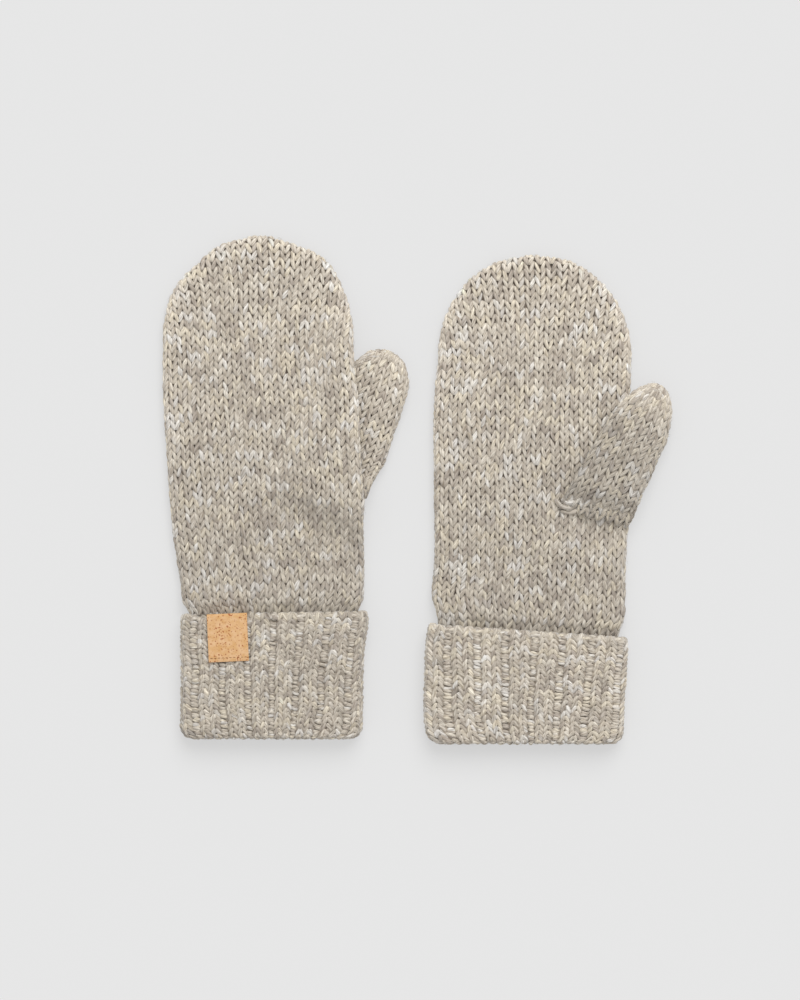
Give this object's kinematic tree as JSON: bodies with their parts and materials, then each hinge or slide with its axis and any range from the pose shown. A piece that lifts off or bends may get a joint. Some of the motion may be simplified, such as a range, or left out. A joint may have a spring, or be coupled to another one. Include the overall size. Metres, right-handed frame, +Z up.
{
  "type": "pair of knitted mittens",
  "caption": "Pair of adult marled stockinette mittens laid flat, one back up and one palm up, with thumbs, turned-up ribbed cuffs and a small cork label",
  "frame": {"origin": "centre of the pair's bounding box on the surface that the mittens lie on", "axes": "+Z up from that surface; +Y from the cuffs to the fingertips; +X from the left mitten to the right mitten"},
  "size_m": [0.2541, 0.2552, 0.0153],
  "materials": {
    "yarn": "marled beige, grey and cream knitting yarn, soft and slightly fuzzy",
    "cork": "thin natural cork sheet on a fabric backing, with reddish brown specks"
  },
  "bodies": {
    "root": {"left_back": "yarn", "left_palm": "yarn", "left_thumb": "yarn", "left_cuff": "yarn", "left_label": "cork", "right_back": "yarn", "right_palm": "yarn", "right_thumb": "yarn", "right_cuff": "yarn"}
  },
  "joints": []
}
